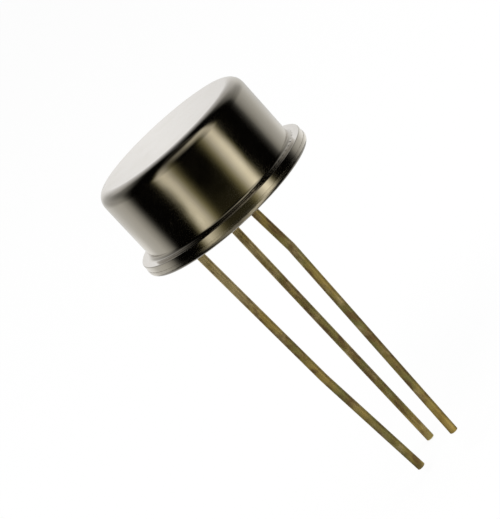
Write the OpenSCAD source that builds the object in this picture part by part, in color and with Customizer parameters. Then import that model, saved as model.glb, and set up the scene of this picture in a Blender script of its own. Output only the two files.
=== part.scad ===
// Voltage regulator in a low-profile metal can with three wire leads.
// The can's axis is Z. The seating plane, which is the header's underside, is z = 0,
// the can stands above it and the leads point down. All sizes are in millimetres.

/* [Can] */
// Outside diameter of the can's side wall
can_d = 8.2; // [8:0.05:8.5]
// Height of the can's top above the seating plane
can_h = 4.3; // [4:0.02:4.7]
// Thickness of the drawn sheet
can_t = 0.32; // [0.2:0.02:0.36]
// Outside radius where the side wall turns into the top
corner_r = 0.6; // [0.4:0.05:0.8]
// Outside radius where the side wall flares into the weld flange
flare_r = 0.16; // [0.08:0.02:0.3]
// Width of the flange outside the side wall, can and header alike
flange_w = 0.53; // [0.45:0.01:0.6]
// How far the can's weld flange stops short of the header's flange
weld_step = 0.02; // [0.01:0.01:0.08]
// Rounding along the top edge of the can's weld flange
weld_edge_r = 0.04; // [0.02:0.01:0.12]

/* [Header] */
// Thickness of the header's flange
header_flange_t = 0.32; // [0.24:0.02:0.4]
// Rounding along the bottom edge of the header's flange
flange_edge_r = 0.22; // [0.04:0.01:0.22]
// Height of the platform that carries the chip, above the seating plane
platform_h = 1.1; // [0.9:0.05:1.4]
// Gap all round between the platform and the can's bore
platform_gap = 0.06; // [0.02:0.01:0.1]
// Bevel around the platform's top
platform_bevel = 0.12; // [0.05:0.01:0.2]
// Width of the index tab
tab_w = 0.8; // [0.7:0.01:0.86]
// Length of the index tab outside the flange
tab_l = 0.9; // [0.74:0.01:1.14]
// Rounding of the index tab's two corners
tab_corner_r = 0.12; // [0.05:0.01:0.3]

/* [Lead wires] */
// Diameter of the wire
lead_d = 0.41; // [0.4:0.01:0.5]
// Diameter of the circle that the leads stand on
lead_circle_d = 5.08; // [4.83:0.01:5.33]
// Straight wire between the seating plane and the first bend
lead_stub = 0.3; // [0.1:0.05:0.6]
// Length of the input lead below the seating plane
input_lead_l = 15.6; // [12.7:0.1:16.5]
// Lean of the input lead's upper part, in degrees
input_top_angle = 1.9; // [-5:0.1:5]
// Lean of the input lead's lower part, in degrees
input_tip_angle = 0.7; // [-7:0.1:7]
// Wire between the input lead's two bends
input_run = 1.4; // [0.5:0.1:6]
// Length of the output lead below the seating plane
output_lead_l = 15.2; // [12.7:0.1:16.5]
// Lean of the output lead's upper part, in degrees
output_top_angle = 2.5; // [-5:0.1:5]
// Lean of the output lead's lower part, in degrees
output_tip_angle = 4.8; // [-7:0.1:7]
// Wire between the output lead's two bends
output_run = 8.5; // [2:0.1:10]
// Length of the ground lead below the seating plane
ground_lead_l = 14.1; // [12.7:0.1:16.5]
// Lean of the ground lead's upper part, in degrees
ground_top_angle = 4.2; // [-5:0.1:5]
// Lean of the ground lead's lower part, in degrees
ground_tip_angle = -0.8; // [-7:0.1:7]
// Wire between the ground lead's two bends
ground_run = 2.4; // [0.5:0.1:6]

/* [Posts and seals] */
// Diameter of each glass seal
seal_d = 1.6; // [1.3:0.05:1.7]
// How far the glass sinks between the wire and the hole's wall
seal_sag = 0.1; // [0.04:0.01:0.2]
// Height of the bare post above the platform, below its head
post_h = 0.35; // [0.15:0.05:0.6]
// Diameter of the flattened head on each post
head_d = 0.8; // [0.6:0.05:0.95]
// Thickness of the flattened head
head_t = 0.15; // [0.1:0.01:0.25]
// Thickness of the braze under the ground lead's head
braze_t = 0.15; // [0.1:0.01:0.2]
// Width of the braze between the ground lead's head and its seat
braze_w = 0.14; // [0.08:0.01:0.25]
// How far the braze sinks between the wire and the seat's wall
braze_sag = 0.06; // [0.02:0.01:0.09]

/* [Chip and bond wires] */
// Side of the square silicon chip
die_w = 2; // [1.2:0.1:2.2]
// Thickness of the chip
die_t = 0.3; // [0.2:0.05:0.4]
// Thickness of the solder under the chip
solder_t = 0.05; // [0.03:0.01:0.1]
// Width of the solder's rim around the chip
solder_rim = 0.12; // [0.05:0.01:0.2]
// Distance from each bond to the chip's edge
bond_inset = 0.3; // [0.15:0.05:0.5]
// Distance from the chip's edge to the ground bond on the platform
ground_reach = 0.7; // [0.4:0.05:1]
// Diameter of a bond wire
bond_wire_d = 0.05; // [0.03:0.005:0.08]
// Diameter of the pressed foot at each end of a bond wire
foot_d = 0.15; // [0.1:0.01:0.2]
// Thickness of the pressed foot
foot_t = 0.04; // [0.02:0.01:0.06]
// Clear height of a bond wire's loop over its higher foot
loop_h = 0.35; // [0.25:0.05:0.6]
// Radius of the two bends in a bond wire's loop
loop_r = 0.18; // [0.1:0.02:0.2]

/* [Hidden] */
$fn = 96;
wire_fn = 32;

can_r = can_d / 2;
bore_r = can_r - can_t;
flange_r = can_r + flange_w;
platform_r = bore_r - platform_gap;
lead_r = lead_d / 2;
seal_r = seal_d / 2;
head_r = head_d / 2;
seat_r = head_r + braze_w;
seat_depth = head_t + braze_t;
post_top = platform_h + post_h;
die_z = platform_h + solder_t;
die_top = die_z + die_t;
// Places round the lead circle, a quarter turn apart; the fourth place is empty
// and the index tab lies between it and the input lead
lead_step = 90;
input_turn = lead_step;
output_turn = 2 * lead_step;
ground_turn = 3 * lead_step;
tab_turn = lead_step / 2;
// Overlap that lets joined solids share volume
joint = 0.01;
// How much thicker than the wire a bend's ball is
bend_swell = 0.001;

// ---- shapes used more than once ----

function at_turn(r, turn) = [r * cos(turn), r * sin(turn), 0];

// Radius of the arc that spans w and sinks by sag
function arc_r(w, sag) = (w * w / 4 + sag * sag) / (2 * sag);

// Moves its children to a lead's place on the lead circle
module on_circle(turn) {
    translate(at_turn(lead_circle_d / 2, turn)) children();
}

// Half section of a straight-sided body, r wide and h high, with a rounded top corner
module rounded_half(r, h, round_r) {
    square([r, h - round_r]);
    square([r - round_r, h]);
    intersection() {
        square([r, h]);
        translate([r - round_r, h - round_r]) circle(round_r);
    }
}

// Corner fillet that fills between a wall at x = 0 and a floor at y = 0
module fillet_half(fillet_r) {
    difference() {
        square(fillet_r);
        translate([fillet_r, fillet_r]) circle(fillet_r);
    }
}

// Ring of liquid that set between two round walls: its free surface sinks by sag
module meniscus_cut(r_in, r_out, sag) {
    round_r = arc_r(r_out - r_in, sag);
    translate([(r_in + r_out) / 2, sag - round_r]) circle(round_r);
}

// Wire that runs down from the origin through steps of [straight, bend angle];
// a positive bend turns it towards +X, and a ball rounds off each bend
module bent_wire(steps, i = 0) {
    run = steps[i][0];
    cylinder_down(lead_r, run);
    if (i + 1 < len(steps))
        translate([0, 0, -run]) {
            sphere(r = lead_r + bend_swell, $fn = wire_fn);
            rotate([0, -steps[i][1], 0]) bent_wire(steps, i + 1);
        }
}

module cylinder_down(r, h) {
    translate([0, 0, -h]) cylinder(r = r, h = h, $fn = wire_fn);
}

// The part of a lead below the seating plane: stub, upper part and lower part,
// each straight
module lead_below(lead_l, top_angle, run, tip_angle) {
    bent_wire([[lead_stub, top_angle],
               [run, tip_angle - top_angle],
               [lead_l - lead_stub - run, 0]]);
}

// Flattened head with its underside at z = 0
module wire_head() {
    cylinder(r = head_r, h = head_t);
}

// A lead that passes through the header and ends in a headed post
module through_lead(turn, lead_l, top_angle, run, tip_angle) {
    on_circle(turn) {
        translate([0, 0, post_top]) wire_head();
        cylinder(r = lead_r, h = post_top, $fn = wire_fn);
        lead_below(lead_l, top_angle, run, tip_angle);
    }
}

// Glass bead between a lead and the header, hollowed at both ends
module glass_seal(turn) {
    color("darkolivegreen")
        on_circle(turn)
            rotate_extrude()
                difference() {
                    translate([lead_r, 0]) square([seal_r - lead_r, platform_h]);
                    meniscus_cut(lead_r, seal_r, seal_sag);
                    translate([0, platform_h]) mirror([0, 1])
                        meniscus_cut(lead_r, seal_r, seal_sag);
                }
}

// Bond wire between two places, each [x, y, z]: a pressed foot at both ends,
// two upright legs, two bends and a level span
module bond_wire(from, to) {
    wire_r = bond_wire_d / 2;
    across = norm([to.x - from.x, to.y - from.y]);
    level = max(from.z, to.z) + loop_h;
    color("gold")
        translate([from.x, from.y, 0])
            rotate([0, 0, atan2(to.y - from.y, to.x - from.x)]) {
                for (end = [[0, from.z, 0], [across, to.z, 1]])
                    translate([end[0], 0, end[1]]) {
                        cylinder(d = foot_d, h = foot_t, $fn = wire_fn);
                        cylinder(r = wire_r, h = level - loop_r - end[1], $fn = wire_fn);
                    }
                for (end = [0, 1])
                    translate([end * across, 0, level - loop_r])
                        mirror([end, 0, 0])
                            translate([loop_r, 0, 0])
                                rotate([90, 0, 0])
                                    rotate([0, 0, 90])
                                        rotate_extrude(angle = 90)
                                            translate([loop_r, 0])
                                                circle(wire_r, $fn = wire_fn);
                translate([loop_r, 0, level])
                    rotate([0, 90, 0])
                        cylinder(r = wire_r, h = across - 2 * loop_r, $fn = wire_fn);
            }
}

// ---- pieces ----

// Drawn can: flat top, straight side wall, flared foot and flat weld flange
module can() {
    color("silver")
        rotate_extrude()
            difference() {
                union() {
                    translate([0, header_flange_t])
                        rounded_half(can_r, can_h - header_flange_t, corner_r);
                    translate([0, header_flange_t])
                        rounded_half(flange_r - weld_step, can_t, weld_edge_r);
                    translate([can_r, header_flange_t + can_t]) fillet_half(flare_r);
                }
                rounded_half(bore_r, can_h - can_t, corner_r - can_t);
                translate([bore_r, header_flange_t]) fillet_half(flare_r + can_t);
            }
}

// Header: flange with its index tab, platform, two seal holes and the ground lead's seat
module header() {
    color("gainsboro")
        difference() {
            union() {
                rotate_extrude() {
                    translate([0, header_flange_t]) mirror([0, 1])
                        rounded_half(flange_r, header_flange_t, flange_edge_r);
                    square([platform_r, platform_h - platform_bevel]);
                    polygon([[0, 0], [platform_r, 0],
                             [platform_r, platform_h - platform_bevel],
                             [platform_r - platform_bevel, platform_h], [0, platform_h]]);
                }
                rotate([0, 0, tab_turn]) index_tab();
            }
            for (turn = [input_turn, output_turn])
                on_circle(turn)
                    translate([0, 0, -joint]) cylinder(r = seal_r, h = platform_h + 2 * joint);
            on_circle(ground_turn)
                translate([0, 0, -joint]) cylinder(r = seat_r, h = seat_depth + joint);
        }
}

// Index tab along +X, rooted inside the flange
module index_tab() {
    reach = flange_r + tab_l;
    linear_extrude(header_flange_t) {
        translate([0, -tab_w / 2]) square([reach - tab_corner_r, tab_w]);
        translate([0, tab_corner_r - tab_w / 2]) square([reach, tab_w - 2 * tab_corner_r]);
        for (side = [-1, 1])
            translate([reach - tab_corner_r, side * (tab_w / 2 - tab_corner_r)])
                circle(tab_corner_r);
    }
}

module input_glass_seal() { glass_seal(input_turn); }

module output_glass_seal() { glass_seal(output_turn); }

module input_lead() {
    color("darkgoldenrod")
        through_lead(input_turn, input_lead_l, input_top_angle, input_run, input_tip_angle);
}

module output_lead() {
    color("darkgoldenrod")
        through_lead(output_turn, output_lead_l, output_top_angle, output_run,
                     output_tip_angle);
}

// Ground lead: its head sits against the ceiling of the seat in the header's underside
module ground_lead() {
    color("darkgoldenrod")
        on_circle(ground_turn) {
            translate([0, 0, braze_t]) wire_head();
            cylinder(r = lead_r, h = braze_t, $fn = wire_fn);
            lead_below(ground_lead_l, ground_top_angle, ground_run, ground_tip_angle);
        }
}

// Braze that fills the ground lead's seat around its head and wire
module ground_braze() {
    color("darkgray")
        on_circle(ground_turn)
            rotate_extrude()
                difference() {
                    translate([lead_r, 0]) square([seat_r - lead_r, seat_depth]);
                    translate([0, braze_t]) square([head_r, head_t]);
                    meniscus_cut(lead_r, seat_r, braze_sag);
                }
}

// Solder layer that holds the chip on the platform
module die_solder() {
    color("slategray")
        translate([0, 0, platform_h])
            linear_extrude(solder_t) square(die_w + 2 * solder_rim, center = true);
}

module silicon_die() {
    color("dimgray")
        translate([0, 0, die_z])
            linear_extrude(die_t) square(die_w, center = true);
}

// Bond wire from a place on the chip to the head of a post
module post_bond_wire(turn) {
    bond_wire(at_turn(die_w / 2 - bond_inset, turn) + [0, 0, die_top],
              at_turn(lead_circle_d / 2, turn) + [0, 0, post_top + head_t]);
}

module input_bond_wire() { post_bond_wire(input_turn); }

module output_bond_wire() { post_bond_wire(output_turn); }

// Bond wire from the chip down to the platform
module ground_bond_wire() {
    bond_wire(at_turn(die_w / 2 - bond_inset, ground_turn) + [0, 0, die_top],
              at_turn(die_w / 2 + ground_reach, ground_turn) + [0, 0, platform_h]);
}

can();
header();
input_glass_seal();
output_glass_seal();
input_lead();
output_lead();
ground_lead();
ground_braze();
die_solder();
silicon_die();
input_bond_wire();
output_bond_wire();
ground_bond_wire();
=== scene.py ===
# %% [markdown]
# A voltage regulator in a low metal can. The solids come from the CAD model and are already
# at their real size, in metres: a drawn can welded on a header, three wire leads, and the
# parts sealed inside. Nothing has to be modelled again here. The work is in the finishes,
# because a plated can is a curved mirror, and what it mirrors is the studio around it.

import math

import bpy
from mathutils import Matrix, Vector


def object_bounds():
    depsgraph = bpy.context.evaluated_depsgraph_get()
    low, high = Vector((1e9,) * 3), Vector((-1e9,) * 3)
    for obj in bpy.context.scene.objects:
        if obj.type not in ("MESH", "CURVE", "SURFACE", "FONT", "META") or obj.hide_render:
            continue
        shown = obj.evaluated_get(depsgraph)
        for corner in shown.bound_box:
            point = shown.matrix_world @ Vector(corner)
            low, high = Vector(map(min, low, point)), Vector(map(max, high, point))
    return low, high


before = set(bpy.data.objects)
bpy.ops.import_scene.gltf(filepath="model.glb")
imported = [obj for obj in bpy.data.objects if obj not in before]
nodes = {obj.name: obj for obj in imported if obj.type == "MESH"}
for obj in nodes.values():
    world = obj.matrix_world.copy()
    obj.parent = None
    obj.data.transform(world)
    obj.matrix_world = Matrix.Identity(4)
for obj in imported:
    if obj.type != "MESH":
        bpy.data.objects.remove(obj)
cad_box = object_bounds()
print("pieces:", ", ".join(sorted(nodes)))
print("box in mm:", [[round(x * 1000, 2) for x in corner] for corner in cad_box])

# %% [markdown]
# Shader maths reads best as plain expressions. This small class wraps one output socket, and
# each arithmetic operator on it adds a Math node, so `1 - mask * 0.3` builds the nodes it
# says.


# %% A socket that can be written as arithmetic
class Value:
    """One number that varies over a surface."""

    def __init__(self, shader, socket):
        self.shader, self.socket = shader, socket

    def _math(self, operation, first, second):
        made = self.shader.add("ShaderNodeMath", {"operation": operation},
                               {0: first, 1: second})
        return Value(self.shader, made.outputs[0])

    def __add__(self, other):
        return self._math("ADD", self, other)

    def __sub__(self, other):
        return self._math("SUBTRACT", self, other)

    def __mul__(self, other):
        return self._math("MULTIPLY", self, other)

    def __rsub__(self, other):
        return self._math("SUBTRACT", other, self)

    __radd__, __rmul__ = __add__, __mul__


print("a value can be added, subtracted and multiplied")

# %% [markdown]
# Every other node comes from one method, which takes the node's type, its settings and then
# its sockets. Colours and vectors must not pass through a Math node, which would turn them
# grey, so they have their own helpers for Mix and Vector Math further on.


# %% One method that adds any node
class Shader:
    """The node tree of one material, with one method that adds any node."""

    def __init__(self, tree):
        self.tree = tree
        tree.nodes.clear()

    def add(self, kind, settings=None, sockets=None):
        """A node of this type: its settings first, then the values or links of its sockets."""
        made = self.tree.nodes.new(kind)
        for name, setting in (settings or {}).items():
            setattr(made, name, setting)
        for name, value in (sockets or {}).items():
            self.feed(made.inputs[name], value)
        return made

    def feed(self, target, value):
        """Link a socket or set a constant."""
        if isinstance(value, Value):
            value = value.socket
        if isinstance(value, bpy.types.NodeSocket):
            self.tree.links.new(value, target)
        else:
            target.default_value = value

    def value(self, made, output=0):
        """An output of a node, ready for arithmetic."""
        return Value(self, made.outputs[output])


print("a shader has:", [name for name in vars(Shader) if not name.startswith("_")])

# %% [markdown]
# Every finish here needs patterns that sit on the object itself: fine noise for plating,
# stretched noise for drawing marks. Object coordinates are in metres and don't move with the
# view. `stretch` squeezes them along an axis, so noise becomes long streaks. A Mix node
# carries the sockets of every kind of data at once, so its colour sockets go by number.

# %% Patterns laid over the object
MM = 0.001
# A Mix node's sockets for colours: the two inputs and the output
COLOUR_A, COLOUR_B, COLOUR_OUT = 6, 7, 2


def coordinates(shader, stretch=(1, 1, 1)):
    """Object coordinates in millimetres, stretched along each axis."""
    place = shader.add("ShaderNodeTexCoord").outputs["Object"]
    scale = Vector(stretch) / MM
    return shader.add("ShaderNodeMapping", None,
                      {"Vector": place, "Scale": scale}).outputs[0]


def noise(shader, where, per_mm, detail=2.0, roughness=0.5):
    """Cloudy noise between 0 and 1, with this many lumps to a millimetre."""
    return shader.value(shader.add("ShaderNodeTexNoise", None, {
        "Vector": where, "Scale": per_mm, "Detail": detail, "Roughness": roughness}))


def remap(shader, value, low, high, to_low=0.0, to_high=1.0):
    """Straight-line map from one range to another, held at its ends."""
    made = shader.add("ShaderNodeMapRange", {"clamp": True}, {
        "Value": value, "From Min": low, "From Max": high, "To Min": to_low, "To Max": to_high})
    return shader.value(made)


def blend(shader, factor, first, second):
    """Colour that goes from first to second with factor."""
    made = shader.add("ShaderNodeMix", {"data_type": "RGBA"}, {
        "Factor": factor, COLOUR_A: first, COLOUR_B: second})
    return made.outputs[COLOUR_OUT]


print("one millimetre is", MM, "m")

# %% [markdown]
# A finish is one Principled shader whose colour, gloss and relief come from such patterns.
# Relief goes through a Bump node, with its depth in millimetres, because plating marks are
# far too shallow to model.


# %% Relief and the finish itself
def bump(shader, height, depth_mm, strength, normal=None):
    """Surface relief of this depth, over the mesh's own normal or another one."""
    sockets = {"Strength": strength, "Distance": depth_mm * MM, "Height": height}
    if normal is not None:
        sockets["Normal"] = normal
    return shader.add("ShaderNodeBump", None, sockets).outputs[0]


def finish(name, build):
    """A new material whose nodes build(shader) makes; build returns the shader's sockets."""
    material = bpy.data.materials.new(name)
    material.use_nodes = True
    shader = Shader(material.node_tree)
    surface = shader.add("ShaderNodeBsdfPrincipled", None, build(shader))
    shader.add("ShaderNodeOutputMaterial", None, {"Surface": surface.outputs[0]})
    print("finish:", name)
    return material


# %% [markdown]
# The can is drawn from one disc of sheet, so its corner and the flare at its foot are even
# bends. The mesh has only a few facets round each bend, and a mirror shows every one. The
# normal there is worked out from the place on the surface instead. It points away from the
# middle of the corner's bend, and towards the middle of the flare's, which is hollow.

# %% Even bends in the can's sheet
# Two bends of the can's outside: radius and height of the bend's middle, then the bend's
# own radius, all in mm
CORNER = (3.5, 3.7, 0.6)
FLARE = (4.26, 0.8, 0.16)
# How far off a bend the surface still counts as its own, and the soft edges of that, in mm
BEND_TOLERANCE = 0.05
BEND_EDGE = 0.01
START_EDGE = 0.001
# A Mix node's sockets for vectors: the two inputs and the output
VECTOR_A, VECTOR_B, VECTOR_OUT = 4, 5, 1


def vector(shader, operation, *inputs):
    """Vector Math node of this operation."""
    return shader.add("ShaderNodeVectorMath", {"operation": operation},
                      dict(enumerate(inputs)))


def round_bend(shader, normal, bend, hollow):
    """Normal that turns evenly round one bend, and stays as it was everywhere else."""
    across, height, radius = bend
    place = coordinates(shader)
    flat = vector(shader, "MULTIPLY", place, (1, 1, 0)).outputs[0]
    side = vector(shader, "NORMALIZE", flat).outputs[0]
    middle = vector(shader, "MULTIPLY_ADD", side, (across, across, 0),
                    (0, 0, height)).outputs[0]
    ends = (middle, place) if hollow else (place, middle)
    aim = vector(shader, "SUBTRACT", *ends).outputs[0]
    reach = shader.value(vector(shader, "LENGTH", aim), "Value")
    off = shader.value(shader.add(
        "ShaderNodeMath", {"operation": "ABSOLUTE"}, {0: reach - radius}))
    on_bend = remap(shader, off, BEND_TOLERANCE, BEND_TOLERANCE + BEND_EDGE, 1.0, 0.0)
    for direction in (side, (0, 0, 1)):
        share = shader.value(vector(shader, "DOT_PRODUCT", aim, direction), "Value")
        on_bend = on_bend * remap(shader, share, 0.0, START_EDGE)
    made = shader.add("ShaderNodeMix", {"data_type": "VECTOR"}, {
        "Factor": on_bend, VECTOR_A: normal,
        VECTOR_B: vector(shader, "NORMALIZE", aim).outputs[0]})
    return made.outputs[VECTOR_OUT]


print("bend radii in mm: corner", CORNER[2], "and flare", FLARE[2])

# %% [markdown]
# The can is steel with bright nickel over it. Nickel is a little warmer than silver. The
# plating is nearly a mirror, so what makes it read as metal is small: a faint clouding of
# the gloss, very fine drawing marks that run up the side wall, a few hairline scratches, and
# a trace of straw-coloured tarnish.

# %% Bright nickel for the can
NICKEL = (0.772, 0.738, 0.703, 1)
STRAW = (0.72, 0.67, 0.585, 1)
SCRATCH_WIDTH = 0.006


def drawing_marks(shader):
    """Fine streaks that run along the can's axis."""
    streaks = coordinates(shader, (1, 1, 0.02))
    return noise(shader, streaks, 14, 3.0, 0.6)


def hairlines(shader, per_mm, along, keep):
    """Sparse scratches: thin ridges of stretched noise, kept where a wider noise is high."""
    lines = noise(shader, coordinates(shader, along), per_mm, 1.0)
    near = 1 - remap(shader, shader.value(shader.add(
        "ShaderNodeMath", {"operation": "ABSOLUTE"}, {0: lines - 0.5})), 0.0, SCRATCH_WIDTH)
    where = remap(shader, noise(shader, coordinates(shader), 0.7), keep, keep + 0.1)
    return near * where


def nickel_can(shader):
    marks = drawing_marks(shader)
    clouds = noise(shader, coordinates(shader), 0.9, 4.0, 0.6)
    grain = noise(shader, coordinates(shader), 30, 2.0)
    scratches = hairlines(shader, 2.2, (1, 0.3, 0.15), 0.55)
    tarnish = remap(shader, clouds, 0.45, 0.8, 0.0, 0.35)
    waves = noise(shader, coordinates(shader), 1.0, 1.0)
    relief = waves * 7 + marks * 0.6 + grain * 0.25 - scratches * 0.2
    normal = shader.add("ShaderNodeNewGeometry").outputs["Normal"]
    normal = round_bend(shader, normal, CORNER, hollow=False)
    normal = round_bend(shader, normal, FLARE, hollow=True)
    return {
        "Base Color": blend(shader, tarnish, NICKEL, STRAW),
        "Metallic": 1.0,
        "Roughness": remap(shader, clouds + marks * 0.3, 0.4, 1.0, 0.10, 0.17)
        + scratches * 0.12,
        "Normal": bump(shader, relief, 0.0006, 0.6, normal),
    }


can_finish = finish("bright_nickel_can", nickel_can)

# %% [markdown]
# The header is pressed from thicker strip and plated in the same bath. It is a little duller
# than the can all over, and it has the fine tool texture of a coined part.


# %% Nickel for the header
def nickel_header(shader):
    clouds = noise(shader, coordinates(shader), 1.3, 4.0, 0.6)
    grain = noise(shader, coordinates(shader), 22, 3.0)
    scratches = hairlines(shader, 1.6, (1, 0.25, 1), 0.45)
    return {
        "Base Color": blend(shader, remap(shader, clouds, 0.4, 0.8, 0.0, 0.5), NICKEL, STRAW),
        "Metallic": 1.0,
        "Roughness": remap(shader, clouds, 0.3, 0.7, 0.15, 0.24) + scratches * 0.15,
        "Normal": bump(shader, grain - scratches, 0.001, 0.6),
    }


header_finish = finish("nickel_header", nickel_header)

# %% [markdown]
# The leads are a nickel-iron alloy under a thin gold flash that has gone dull in storage.
# The flash is patchy: olive, old gold and brown run into each other every millimetre or two,
# with lighter worn places. The dull film scatters light, so the finish is not fully metallic,
# and its satin gloss spreads reflections into one broad tone. Three patches have a place of
# their own: a worn one just below the header on the output lead, a fainter one on the input
# lead, and a brighter yellow one at the ground lead's tip.

# %% Dull gold for the leads
OLD_GOLD = (0.43, 0.315, 0.092, 1)
OLIVE = (0.265, 0.235, 0.076, 1)
BROWN = (0.275, 0.180, 0.072, 1)
WORN = (0.60, 0.475, 0.24, 1)
BRIGHT_GOLD = (0.60, 0.43, 0.12, 1)
# Each patch with a place of its own: its middle and reach in mm, then its strength
OUTPUT_ROOT = ((-2.5, 0.0, -2.0), 3.0, 0.3)
INPUT_ROOT = ((0.0, 2.54, -2.2), 4.0, 0.16)
GROUND_TIP = ((0.0, -2.54, -14.2), 3.0, 0.75)
PATCH_CORE = 0.3


def patch(shader, patch_size):
    """Full strength in the core of a round patch, fading to 0 at its reach."""
    middle, reach, strength = patch_size
    apart = shader.value(vector(shader, "DISTANCE", coordinates(shader), middle), "Value")
    return remap(shader, apart, reach * PATCH_CORE, reach, 1.0, 0.0) * strength


def gold_lead(shader):
    patches = noise(shader, coordinates(shader, (1, 1, 0.6)), 0.9, 3.0, 0.55)
    blotches = noise(shader, coordinates(shader, (1, 1, 0.6)), 2.6, 2.0)
    worn = noise(shader, coordinates(shader, (1, 1, 0.7)), 1.7, 3.0, 0.6)
    lines = noise(shader, coordinates(shader, (1, 1, 0.03)), 12, 2.0)
    pits = noise(shader, coordinates(shader), 10, 2.0)
    gold = blend(shader, remap(shader, patches, 0.40, 0.62), OLD_GOLD, OLIVE)
    tone = blend(shader, remap(shader, blotches, 0.46, 0.62, 0.0, 0.95), gold, BROWN)
    rubbed = patch(shader, OUTPUT_ROOT) + patch(shader, INPUT_ROOT)
    aged = blend(shader, remap(shader, worn + rubbed, 0.52, 0.74, 0.0, 0.8), tone, WORN)
    return {
        "Base Color": blend(shader, patch(shader, GROUND_TIP), aged, BRIGHT_GOLD),
        "Metallic": remap(shader, blotches, 0.35, 0.65, 0.55, 0.72),
        "Roughness": remap(shader, patches + blotches * 0.4, 0.4, 1.0, 0.32, 0.46),
        "Normal": bump(shader, lines * 0.5 + pits * 0.6, 0.002, 0.3),
    }


lead_finish = finish("dull_gold_lead", gold_lead)

# %% [markdown]
# The glass beads are dark green sealing glass that melted into the holes and wetted both the
# wire and the wall. Melted glass is glossy and full of faint flow marks. Beside them, the
# ground lead's head is brazed in with a silver alloy that froze in small ripples.

# %% Sealing glass and braze
GLASS_GREEN = (0.030, 0.075, 0.052, 1)
GLASS_DARK = (0.012, 0.030, 0.026, 1)
GLASS_IOR = 1.52
GLASS_COAT = 0.4
SILVER_BRAZE = (0.70, 0.68, 0.62, 1)
DULL_BRAZE = (0.52, 0.49, 0.42, 1)


def sealing_glass(shader):
    flow = noise(shader, coordinates(shader), 2.6, 3.0)
    bubbles = noise(shader, coordinates(shader), 17, 1.0)
    return {
        "Base Color": blend(shader, remap(shader, flow, 0.35, 0.65), GLASS_GREEN, GLASS_DARK),
        "Roughness": remap(shader, flow, 0.3, 0.7, 0.05, 0.14),
        "IOR": GLASS_IOR,
        "Coat Weight": GLASS_COAT,
        "Normal": bump(shader, bubbles, 0.002, 0.4),
    }


def braze_metal(shader):
    ripples = noise(shader, coordinates(shader), 5.0, 4.0, 0.65)
    return {
        "Base Color": blend(shader, remap(shader, ripples, 0.35, 0.7), SILVER_BRAZE,
                            DULL_BRAZE),
        "Metallic": 1.0,
        "Roughness": remap(shader, ripples, 0.3, 0.7, 0.26, 0.42),
        "Normal": bump(shader, ripples, 0.01, 0.7),
    }


glass_finish = finish("sealing_glass", sealing_glass)
braze_finish = finish("silver_braze", braze_metal)

# %% [markdown]
# Nobody sees the chip until the can is lifted off, but it deserves its own finish. Polished
# silicon is a dark blue-grey mirror. The regulator's big output transistor shows as a comb
# of metal fingers over half of it, and small circuit blocks fill the rest. The comb is a
# Wave texture and the blocks are a Brick texture, cut sharp.

# %% Silicon chip
SILICON = (0.11, 0.12, 0.16, 1)
TRACK = (0.62, 0.58, 0.50, 1)
FINGERS_PER_MM = 3.2
BLOCKS_PER_MM = 3.0
# Halfway across the chip the comb stops and the blocks start
COMB_EDGE = (-0.05, 0.0)


def silicon(shader):
    where = coordinates(shader)
    fingers = shader.value(shader.add("ShaderNodeTexWave", {
        "wave_type": "BANDS", "bands_direction": "X", "wave_profile": "SIN"}, {
        "Vector": where, "Scale": FINGERS_PER_MM}), "Fac")
    y = shader.value(shader.add("ShaderNodeSeparateXYZ", None, {"Vector": where}), 1)
    comb = remap(shader, fingers, 0.45, 0.55) * remap(shader, y, *COMB_EDGE)
    blocks = shader.value(shader.add("ShaderNodeTexBrick", {"offset": 0.35}, {
        "Vector": where, "Scale": BLOCKS_PER_MM, "Mortar Size": 0.05}), "Fac")
    pattern = comb + blocks * 0.5 * remap(shader, y, *reversed(COMB_EDGE))
    return {
        "Base Color": blend(shader, pattern, SILICON, TRACK),
        "Metallic": remap(shader, pattern, 0.0, 1.0, 0.3, 1.0),
        "Roughness": remap(shader, pattern, 0.0, 1.0, 0.08, 0.28),
        "Normal": bump(shader, pattern, 0.002, 0.5),
    }


silicon_finish = finish("polished_silicon", silicon)

# %% [markdown]
# The chip lies on soft solder, which sets dull and lumpy. Three gold wires join it to the
# posts and the header. They are drawn bright, so they keep only a fine grain.

# %% Solder and bond wires
SOLDER = (0.55, 0.55, 0.56, 1)
SOLDER_DULL = (0.40, 0.40, 0.41, 1)
BOND_GOLD = (0.90, 0.68, 0.30, 1)
BOND_DARK = (0.74, 0.52, 0.22, 1)


def soft_solder(shader):
    lumps = noise(shader, coordinates(shader), 6.0, 4.0, 0.7)
    return {
        "Base Color": blend(shader, remap(shader, lumps, 0.35, 0.65), SOLDER, SOLDER_DULL),
        "Metallic": 1.0,
        "Roughness": remap(shader, lumps, 0.3, 0.7, 0.28, 0.45),
        "Normal": bump(shader, lumps, 0.006, 0.8),
    }


def bond_gold(shader):
    grain = noise(shader, coordinates(shader), 40, 3.0)
    return {
        "Base Color": blend(shader, remap(shader, grain, 0.4, 0.7), BOND_GOLD, BOND_DARK),
        "Metallic": 1.0,
        "Roughness": remap(shader, grain, 0.3, 0.7, 0.16, 0.28),
        "Normal": bump(shader, grain, 0.001, 0.5),
    }


solder_finish = finish("soft_solder", soft_solder)
bond_finish = finish("bond_gold", bond_gold)

# %% [markdown]
# A piece gets its finish through its own material slots, so the solids themselves stay as
# they are. Pieces that are made of the same stuff share one material.

# %% Give each piece its finish
FINISHES = {
    "can": can_finish, "header": header_finish,
    "input_glass_seal": glass_finish, "output_glass_seal": glass_finish,
    "input_lead": lead_finish, "output_lead": lead_finish, "ground_lead": lead_finish,
    "ground_braze": braze_finish, "die_solder": solder_finish,
    "silicon_die": silicon_finish, "input_bond_wire": bond_finish,
    "output_bond_wire": bond_finish, "ground_bond_wire": bond_finish,
}
for name, piece in nodes.items():
    if not piece.material_slots:
        piece.data.materials.append(FINISHES[name])
    for slot in piece.material_slots:
        slot.material = FINISHES[name]
print("finished pieces:", len(nodes))

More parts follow.
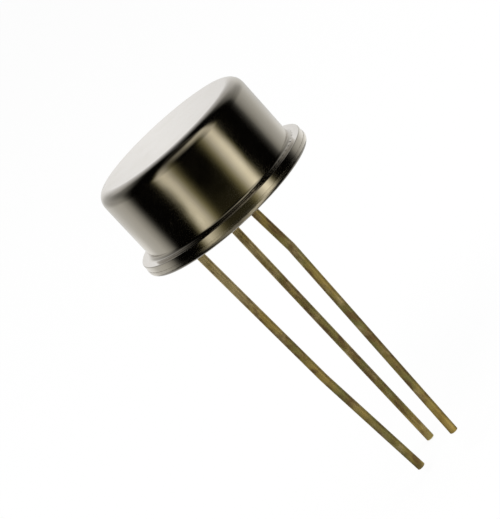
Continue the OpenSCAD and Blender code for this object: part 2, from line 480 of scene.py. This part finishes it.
# %% [markdown]
# The camera looks down on the can's top at about fourteen degrees from a hand's width away,
# and it is rolled, so the upright can lies across the picture with its leads towards the
# lower right. A long lens keeps the can's sides nearly parallel.

# %% Camera
SENSOR_MM = 36.0
PICTURE = (500, 519)
FOCAL_PX = 1814.0
CAMERA_AZIMUTH = math.radians(-13.0)
CAMERA_HEIGHT = math.radians(14.15)
CAMERA_ROLL = math.radians(-42.59)
CAMERA_AWAY = 80.0 * MM
AIM = Vector((0, 0, 2.13 * MM))
OFF_AXIS = (0.95 * MM, 4.47 * MM)

back = Vector((math.sin(CAMERA_AZIMUTH) * math.cos(CAMERA_HEIGHT),
               -math.cos(CAMERA_AZIMUTH) * math.cos(CAMERA_HEIGHT),
               math.sin(CAMERA_HEIGHT)))
right = Vector((math.cos(CAMERA_AZIMUTH), math.sin(CAMERA_AZIMUTH), 0))
up = back.cross(right)
place = AIM + back * CAMERA_AWAY - right * OFF_AXIS[0] - up * OFF_AXIS[1]
across = right * math.cos(CAMERA_ROLL) + up * math.sin(CAMERA_ROLL)
upward = up * math.cos(CAMERA_ROLL) - right * math.sin(CAMERA_ROLL)
lens = bpy.data.cameras.new("camera")
lens.sensor_width = SENSOR_MM
lens.lens = FOCAL_PX * SENSOR_MM / max(PICTURE)
lens.clip_start, lens.clip_end = 1 * MM, 10.0
camera = bpy.data.objects.new("camera", lens)
turn = Matrix((across, upward, back)).transposed()
camera.matrix_world = Matrix.Translation(place) @ turn.to_4x4()
bpy.context.scene.collection.objects.link(camera)
bpy.context.scene.camera = camera
print("lens mm:", round(lens.lens, 2), "camera at mm:", [round(x / MM, 2) for x in place])

# %% [markdown]
# A mirror needs something to mirror. A photographer lights a plated part inside a light tent:
# a white cloth behind it that falls off to black at the sides, and a dark front with two
# narrow pale panels in it, which draw the two bright bands on the wall. The same tent stands
# here as one mesh of revolution. Its tone is worked out in Python at every vertex, as soft
# panels laid over each other, because panels with hard edges would cut the reflections into
# blocks. These helpers make the soft edges. An edge whose end lies below its start falls
# instead of rising.


# %% Soft edges and falling tones
def ease(value, start, end):
    """0 at start, 1 at end, a smooth S between, and held beyond both."""
    share = min(1.0, max(0.0, (value - start) / (end - start)))
    return share * share * (3 - 2 * share)


def follow(value, points):
    """Straight lines through (value, tone) points, held at both ends."""
    for (x0, y0), (x1, y1) in zip(points, points[1:]):
        if value < x1:
            share = max(0.0, (value - x0) / (x1 - x0))
            return y0 + (y1 - y0) * share
    return points[-1][1]


def between(share, first, second):
    """Numbers that go from the first row to the second with share."""
    return [a + (b - a) * share for a, b in zip(first, second)]


def add(tone, colour, amount):
    """A tone with this much of a colour laid over it."""
    return [t + c * amount for t, c in zip(tone, colour)]


print("soft edge, quarter by quarter:", [ease(quarter, 0, 4) for quarter in range(5)])

# %% [markdown]
# The cloth lies behind the can and lights its top and both ends of its wall. Places on the
# tent are named by four measures: the bearing from the camera, its size without the sign
# (the side), the angle above the horizon (steep) and the height in millimetres. The cloth's
# tone follows one table from side to back and another from the horizon to the zenith. A few
# soft patches then darken or lighten it where folds and the room would.

# %% Tone of the cloth
# Side in degrees, and the cloth's tone there
LEFT_CLOTH = [(84, 0.0), (89, 0.03), (95, 0.17), (100, 0.28), (110, 0.43), (130, 0.52),
              (150, 0.69), (160, 0.80), (172, 0.87), (180, 0.94)]
RIGHT_CLOTH = [(84, 0.0), (90, 0.012), (95, 0.05), (98, 0.12), (101, 0.20), (110, 0.33),
               (130, 0.51), (140, 0.58), (150, 0.63), (160, 0.69), (172, 0.84), (180, 0.94)]
# Steep in degrees, and the cloth's share of its tone there
CLOTH_HEIGHT = [(12, 1.0), (20, 0.86), (26, 0.75), (38, 0.63), (46, 0.5), (52, 0.4),
                (62, 0.21), (70, 0.10), (76, 0.07), (84, 0.06), (90, 0.05)]
# In front of this side the cloth fades faster with height, the more so the nearer the camera
CLOTH_BACK, CLOTH_FALL = 142, 20
# Each patch: the hands it lies on, its change of tone, and the soft edges that hold it in.
# An edge says what it measures, where it starts and where it ends.
LEFT, RIGHT = -1, 1
CLOTH_PATCHES = [
    # Darker low down at the back, and lighter just below that
    ((LEFT, RIGHT), -0.20, [("side", 140, 172), ("steep", 4, -12)]),
    ((LEFT, RIGHT), 0.20, [("height", -5.5, -8.0), ("side", 125, 145)]),
    # Darker along the cloth's front edge, above the horizon
    ((LEFT, RIGHT), -0.45, [("steep", 6, 16), ("steep", 46, 34), ("side", 106, 92)]),
    # On the right, a dark belt at the horizon and light from the floor
    ((RIGHT,), -0.36, [("steep", -14, 8), ("steep", 28, 14), ("side", 150, 126)]),
    ((RIGHT,), 0.40, [("height", -8.2, -10.2), ("side", 175, 155)]),
    # On the left, the same belt, with a top edge that slopes down towards the back
    ((LEFT,), -0.36, [("steep", -14, 8), ("slope", 0, 1), ("side", 170, 146)]),
]
# The sloping edge: where it turns, in side, and its start and end in steep, near and far
SLOPE_TURN = (125, 150)
SLOPE_NEAR, SLOPE_FAR = (52, 30), (36, 18)


def cloth_tone(place):
    """Strength of the cloth at a place on the tent."""
    hand = LEFT if place["bearing"] < 0 else RIGHT
    side, steep = place["side"], place["steep"]
    tone = follow(side, LEFT_CLOTH if hand == LEFT else RIGHT_CLOTH)
    for hands, change, edges in CLOTH_PATCHES:
        if hand in hands:
            for what, start, end in edges:
                if what == "slope":
                    what = "steep"
                    start, end = between(ease(side, *SLOPE_TURN), SLOPE_NEAR, SLOPE_FAR)
                change *= ease(place[what], start, end)
            tone *= 1 + change
    fall = 1 + max(0.0, (CLOTH_BACK - side) / CLOTH_FALL)
    return tone * follow(steep, CLOTH_HEIGHT) ** fall


straight_back = {"bearing": 180, "side": 180, "steep": 0, "height": 3}
print("cloth straight behind the can:", round(cloth_tone(straight_back), 3))

# %% [markdown]
# The two front panels draw the bright bands. Each one fades in slowly from its inner side
# and ends faster at its outer side. Real reflectors hang in waves, so the outer side bulges
# with height. Low down, where the rim of the can mirrors the tent, the panels stand a little
# further out and the left one is weaker.

# %% Tone of the front panels
# Height in mm, and a panel's share of its tone there
PANEL_HEIGHT = [(-11, 1.0), (-9.3, 1.08), (-8.7, 1.28), (-8.0, 1.0), (-7.4, 1.06),
                (-6, 0.92), (-2, 0.76), (3, 0.56), (14, 0.54), (22, 0.40), (36, 0.22),
                (50, 0.08), (70, 0.02)]
# Height in mm, and how far a panel's outer side bulges there, in degrees
LEFT_BULGE = [(-9.4, 0.0), (-8.6, 5.0), (-8.0, 3.5), (-7.5, 1.5), (-6.9, -1.5), (-5.7, -5.0),
              (-5.0, -5.5), (-4.5, 0.5), (-3.8, 3.5), (8, 4.0), (20, 0.0)]
RIGHT_BULGE = [(-8.7, 0.0), (-8.0, -4.0), (-7.4, -1.0), (-6.3, -1.0), (-5.7, 1.0),
               (-5.0, 0.5), (-4.4, -2.5), (-3.6, -2.0), (-2, -1.0), (4, 1.0), (8, 1.5),
               (20, 0.0)]
# Height in mm where the rim starts to count, and where the foot of the rim does
RIM_HEIGHT, FOOT_HEIGHT = (-8.4, -9.0), (-9.4, -10.1)
# Each panel: its bulge, its strength on the wall and at the rim, and the degrees where its
# inner side starts and is full, on the wall and at the rim. Last come the degrees where its
# outer side starts to fall and ends, on the wall and at the foot of the rim.
LEFT_PANEL = {"bulge": LEFT_BULGE, "strength": (0.83, 0.498),
              "inner": ((6, 38), (14, 47)), "outer": ((35, 48), (39, 56))}
RIGHT_PANEL = {"bulge": RIGHT_BULGE, "strength": (0.94, 0.94),
               "inner": ((11, 45), (11, 45)), "outer": ((42, 55), (42, 58))}


def panel_tone(degrees, height, panel):
    """Strength of one front panel, at degrees to its own side of the camera's bearing."""
    rim, foot = ease(height, *RIM_HEIGHT), ease(height, *FOOT_HEIGHT)
    bulge = follow(height, panel["bulge"])
    start, full = between(rim, *panel["inner"])
    falls, ends = between(foot, *panel["outer"])
    on_wall, on_rim = panel["strength"]
    strength = on_wall + (on_rim - on_wall) * rim
    inner = ease(degrees, start, full) ** 2
    return strength * inner * ease(degrees, ends + bulge, falls + bulge)


print("right panel at 45 degrees:", round(panel_tone(45, 0, RIGHT_PANEL), 3))

# %% [markdown]
# Two faint glows fill the dark front between the panels. The high one draws the thin light
# line along the can's corner. The low one keeps the foot of the wall from going black.

# %% Two faint glows
# The high glow: its left side, its right side, and where it gains towards the right, all in
# degrees, then its tone by height in mm
GLOW_LEFT, GLOW_RIGHT = (-36, -4), (58, 42)
GLOW_RISE, GLOW_GAIN = (0, 22), 1.1
GLOW_HEIGHT = [(14, 0.0), (22, 0.05), (34, 0.12), (46, 0.18), (58, 0.13), (75, 0.06),
               (88, 0.01)]
# The low glow: both its sides in degrees, then its tone by height in mm
LOW_SIDES = (54, 40)
LOW_HEIGHT = [(-12, 0.016), (-10, 0.020), (-9.2, 0.036), (-8.6, 0.014), (-8.0, 0.018),
              (-7.4, 0.008), (-6.9, 0.0)]


def high_glow(bearing, height):
    """Strength of the glow that lies high between the panels."""
    sides = ease(bearing, *GLOW_LEFT) * ease(bearing, *GLOW_RIGHT)
    return sides * (1 + GLOW_GAIN * ease(bearing, *GLOW_RISE)) * follow(height, GLOW_HEIGHT)


def low_glow(side, height):
    """Strength of the glow that lies below the panels."""
    return ease(side, *LOW_SIDES) * follow(height, LOW_HEIGHT)


print("glow straight ahead:", round(high_glow(0, 46), 3), "high,", low_glow(0, -9.2), "low")

# %% [markdown]
# Pale things turn warmer as they darken, so the colour follows the tone. The cloth loses
# blue towards its dark sides. The panels are cream and turn browner where they fade out. The
# tent's floor has soft light of its own in front and behind.

# %% Colour of the tent
TENT_BLACK = (0.0010, 0.0008, 0.0006)
CREAM = (1.0, 0.915, 0.675)
# Side in degrees, and the cloth's blue there; its green falls a fifth as far
CLOTH_BLUE = [(85, 0.80), (112, 0.86), (142, 0.92), (172, 0.98), (180, 0.985)]
GREEN_SHARE = 0.2
# The panels' green and blue where they fade out, and the tones at which each is full again
FADED_GREEN, FULL_GREEN = 0.94, 0.4
FADED_BLUE, FULL_BLUE = 0.5, 0.45
# Light on the tent's floor, by bearing in front of the can and by side behind it
FLOOR_FRONT = [(-58, 0.0), (-46, 0.12), (-30, 0.20), (-8, 0.12), (4, 0.22), (26, 0.5),
               (36, 0.42), (48, 0.24), (58, 0.0)]
FLOOR_REAR = [(98, 0.0), (120, 0.24), (150, 0.42), (180, 0.5)]
# The floor lies this far below the lead tips, and the tent's own floor this far above it
FLOOR_GAP, TENT_GAP = 0.05, 0.1
FLOOR_Z = cad_box[0][2] - FLOOR_GAP * MM
TENT_FLOOR = FLOOR_Z / MM + TENT_GAP
TENT_R = 45.0
# The angle above the horizon is taken from this height on the can's axis, in mm
EYE_HEIGHT = 3.0


def warm(tone):
    """The panels' cream, which turns browner where a panel fades out."""
    green = FADED_GREEN + (1 - FADED_GREEN) * ease(tone, 0, FULL_GREEN)
    blue = FADED_BLUE + (1 - FADED_BLUE) * ease(tone, 0, FULL_BLUE)
    return CREAM[0], CREAM[1] * green, CREAM[2] * blue


def tent_tone(bearing, radius, height):
    """Colour of the tent at a bearing from the camera, in degrees, and a place in mm."""
    side = abs(bearing)
    blue = follow(side, CLOTH_BLUE)
    white = (1.0, 1 - GREEN_SHARE * (1 - blue), blue)
    if height <= TENT_FLOOR:
        lit = follow(bearing, FLOOR_FRONT) + follow(side, FLOOR_REAR)
        return add(TENT_BLACK, white if side > 90 else CREAM, lit)
    steep = math.degrees(math.atan2(height - EYE_HEIGHT, radius))
    place = {"bearing": bearing, "side": side, "steep": steep, "height": height}
    tone = add(TENT_BLACK, white, cloth_tone(place))
    panels = panel_tone(-bearing, height, LEFT_PANEL)
    panels += panel_tone(bearing, height, RIGHT_PANEL)
    tone = add(tone, warm(panels), panels * follow(height, PANEL_HEIGHT))
    tone = add(tone, CREAM, high_glow(bearing, height))
    return add(tone, warm(0), low_glow(side, height))


print("tent straight ahead:", [round(t, 4) for t in tent_tone(0, TENT_R, 0)])

# %% [markdown]
# The tent is turned like a pot on a wheel: one profile, from the middle of its floor up the
# wall and over to the top, is repeated round the can's axis. Its rows are close together low
# down, because the wall of the can mirrors a narrow strip there. The bearings start from
# the camera's own, so the panels stand where a photographer would put them.

# %% Build the tent
TENT_TOP = 90.0
FLOOR_RADII = (0.5, 4, 8, 12, 18, 24, 31, 38, TENT_R)
TOP_RADII = (38, 30, 22, 15, 8, 3, 0.5)
FIRST_ROW, LOW_STEP, LOW_ROWS, HIGH_ROWS = 0.3, 0.6, 26, 54
BEARING_STEP = 2
TURNS = 360 // BEARING_STEP
CAMERA_BEARING = math.degrees(math.atan2(back.y, back.x))


def tent_profile():
    """(radius, height) points from the floor's middle, up the wall and over to the top."""
    rise = [TENT_FLOOR + FIRST_ROW + LOW_STEP * k for k in range(LOW_ROWS)]
    step = (TENT_TOP - rise[-1]) / HIGH_ROWS
    rise += [rise[-1] + step * (k + 1) for k in range(HIGH_ROWS)]
    return ([(radius, TENT_FLOOR) for radius in FLOOR_RADII]
            + [(TENT_R, height) for height in rise]
            + [(radius, TENT_TOP) for radius in TOP_RADII])


profile = tent_profile()
rows = len(profile)
points, tones, faces = [], [], []
for k in range(TURNS):
    bearing = -180 + k * BEARING_STEP
    angle = math.radians(CAMERA_BEARING + bearing)
    for radius, height in profile:
        points.append((radius * math.cos(angle) * MM, radius * math.sin(angle) * MM,
                       height * MM))
        tones.extend((*tent_tone(bearing, radius, height), 1.0))
    for j in range(rows - 1):
        first, second = k * rows + j, (k + 1) % TURNS * rows + j
        faces.append((first, second, second + 1, first + 1))
cloth = bpy.data.meshes.new("light_tent")
cloth.from_pydata(points, [], faces)
cloth.attributes.new("tone", "FLOAT_COLOR", "POINT").data.foreach_set("color", tones)
print("tent points:", len(points))

# %% [markdown]
# The tent glows with the tone at each vertex. Only gloss sees it: it is hidden from the
# camera and from soft light, and it casts no shadow.

# %% Light the tent
glow = bpy.data.materials.new("tent_glow")
glow.use_nodes = True
shader = Shader(glow.node_tree)
painted = shader.add("ShaderNodeAttribute", {"attribute_name": "tone"})
light = shader.add("ShaderNodeEmission", None, {"Color": painted.outputs["Color"]})
shader.add("ShaderNodeOutputMaterial", None, {"Surface": light.outputs[0]})
cloth.materials.append(glow)
tent = bpy.data.objects.new("light_tent", cloth)
bpy.context.scene.collection.objects.link(tent)
tent.visible_camera = tent.visible_diffuse = tent.visible_shadow = False
print("staged:", tent.name)

# %% [markdown]
# The floor is a plain white sheet just under the lead tips. It shows as white to the camera
# and to the gloss, and a thin layer of it still takes the part's soft shadow.

# %% Floor
FLOOR_SIZE = 4.0
FLOOR_PAINT = (0.96, 0.96, 0.96, 1)
FLOOR_WHITE = 1.015
SHADOW_SHARE = 0.12
WHITE = (1, 1, 1, 1)


def for_viewers(shader, share):
    """This share for camera, glossy and transmission rays, and 0 for all other light."""
    path = shader.add("ShaderNodeLightPath")
    seen = shader.value(path, "Is Camera Ray") + shader.value(path, "Is Glossy Ray") \
        + shader.value(path, "Is Transmission Ray")
    return remap(shader, seen, 0.0, 1.0, 0.0, share)


floor_material = bpy.data.materials.new("white_floor")
floor_material.use_nodes = True
shader = Shader(floor_material.node_tree)
matte = shader.add("ShaderNodeBsdfDiffuse", None, {"Color": FLOOR_PAINT})
white = shader.add("ShaderNodeEmission", None, {"Color": WHITE, "Strength": FLOOR_WHITE})
mixed = shader.add("ShaderNodeMixShader", None, {
    0: for_viewers(shader, 1 - SHADOW_SHARE), 1: matte.outputs[0], 2: white.outputs[0]})
shader.add("ShaderNodeOutputMaterial", None, {"Surface": mixed.outputs[0]})
half = FLOOR_SIZE / 2
sheet = bpy.data.meshes.new("floor")
sheet.from_pydata([(-half, -half, FLOOR_Z), (half, -half, FLOOR_Z), (half, half, FLOOR_Z),
                   (-half, half, FLOOR_Z)], [], [(0, 1, 2, 3)])
sheet.materials.append(floor_material)
floor = bpy.data.objects.new("floor", sheet)
bpy.context.scene.collection.objects.link(floor)
print("floor at mm:", round(FLOOR_Z / MM, 3))

# %% [markdown]
# The world is plain white air, seen a little brighter than it shines, so the background
# stays white without washing out the soft shading. Two large soft lamps do the rest. They
# stay out of the gloss, which belongs to the tent.

# %% Air and lamps
AIR_LIGHT = 0.7
AIR_SEEN = 1.0
world = bpy.data.worlds.new("studio_air")
bpy.context.scene.world = world
world.use_nodes = True
shader = Shader(world.node_tree)
air = shader.add("ShaderNodeBackground", None, {
    "Color": WHITE, "Strength": for_viewers(shader, AIR_SEEN - AIR_LIGHT) + AIR_LIGHT})
shader.add("ShaderNodeOutputWorld", None, {"Surface": air.outputs[0]})


def lamp(name, where_mm, size_mm, watts):
    """Soft square lamp that looks at the part."""
    light = bpy.data.lights.new(name, "AREA")
    light.size = size_mm * MM
    light.energy = watts
    holder = bpy.data.objects.new(name, light)
    holder.location = Vector(where_mm) * MM
    holder.rotation_euler = (-holder.location).to_track_quat("-Z", "Y").to_euler()
    holder.visible_glossy = False
    bpy.context.scene.collection.objects.link(holder)
    print("lamp:", name, watts, "W")


lamp("key_lamp", where_mm=(-120, -160, 260), size_mm=180, watts=0.30)
lamp("fill_lamp", where_mm=(200, -60, 180), size_mm=220, watts=0.12)
bpy.context.scene.view_settings.view_transform = "Standard"

# %% [markdown]
# Last, the scene is complete.

# %% Finish
print("scene complete")
